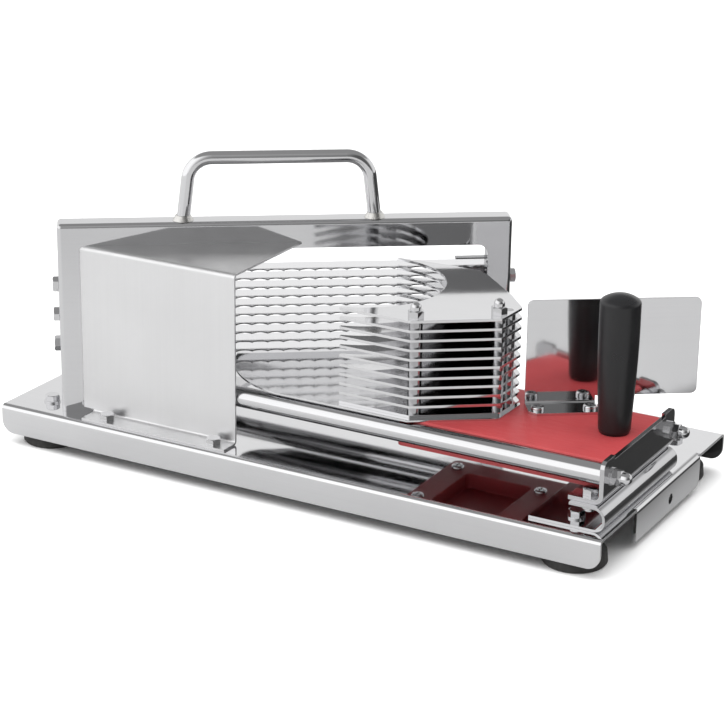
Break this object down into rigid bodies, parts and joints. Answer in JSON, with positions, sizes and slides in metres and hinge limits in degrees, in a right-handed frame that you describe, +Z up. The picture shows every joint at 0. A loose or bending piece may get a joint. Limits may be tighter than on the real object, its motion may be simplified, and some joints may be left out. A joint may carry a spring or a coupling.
{
  "type": "vegetable slicer",
  "caption": "Manual bench slicer: a plated pusher on two guide rods drives food through a diagonal frame of scalloped blades on a folded steel base.",
  "frame": {"origin": "bottom centre of the bounding box, on the surface the rubber feet stand on", "axes": "+X along the guide rods towards the push handle at rest, +Y to the rear, +Z up"},
  "size_m": [0.397, 0.18, 0.1804],
  "materials": {
    "polished_steel": "mirror-polished stainless steel",
    "satin_steel": "satin stainless steel",
    "blade_steel": "polished, thin",
    "rod_steel": "ground and polished round bar",
    "fasteners": "bright stainless hardware",
    "red_plastic": "satin solid polyethylene",
    "black_plastic": "satin moulded plastic",
    "black_rubber": "matt"
  },
  "bodies": {
    "base": {"base_pan": "polished_steel", "rubber_feet": "black_rubber", "foot_nuts": "fasteners", "foot_bolts": "fasteners", "foot_washers": "fasteners", "right_riser": "polished_steel", "right_rod_bracket": "polished_steel", "left_riser": "polished_steel", "left_rod_bracket": "polished_steel", "bracket_bolts": "fasteners", "bracket_nuts": "fasteners", "riser_bolts": "fasteners", "guard_bolts": "fasteners", "frame_bolts": "fasteners", "base_nuts": "fasteners", "front_guide_rod": "rod_steel", "rear_guide_rod": "rod_steel", "rod_washers": "fasteners", "rod_acorn_nuts": "fasteners", "blade_frame": "polished_steel", "left_blade_holder": "polished_steel", "right_blade_holder": "polished_steel", "holder_bolts": "fasteners", "blade_01": "blade_steel", "blade_02": "blade_steel", "blade_03": "blade_steel", "blade_04": "blade_steel", "blade_05": "blade_steel", "blade_06": "blade_steel", "blade_07": "blade_steel", "blade_08": "blade_steel", "blade_09": "blade_steel", "blade_10": "blade_steel", "carry_handle": "polished_steel", "handle_welds": "polished_steel", "guard": "satin_steel"},
    "carriage": {"slide_block": "red_plastic", "food_tray": "polished_steel", "pusher_plate_01": "polished_steel", "pusher_plate_02": "polished_steel", "pusher_plate_03": "polished_steel", "pusher_plate_04": "polished_steel", "pusher_plate_05": "polished_steel", "pusher_plate_06": "polished_steel", "pusher_plate_07": "polished_steel", "pusher_plate_08": "polished_steel", "pusher_plate_09": "polished_steel", "pusher_plate_10": "polished_steel", "pusher_plate_11": "polished_steel", "plate_spacers": "fasteners", "pusher_studs": "fasteners", "plate_acorn_nuts": "fasteners", "hand_guard": "polished_steel", "hand_guard_screws": "fasteners", "tray_screws": "fasteners", "push_handle": "black_plastic", "handle_bolt": "fasteners"}
  },
  "joints": [
    {"name": "carriage_slide", "type": "slide", "parent": "base", "child": "carriage", "axis": [-1, 0, 0], "range_m": [0, 0.145]}
  ]
}
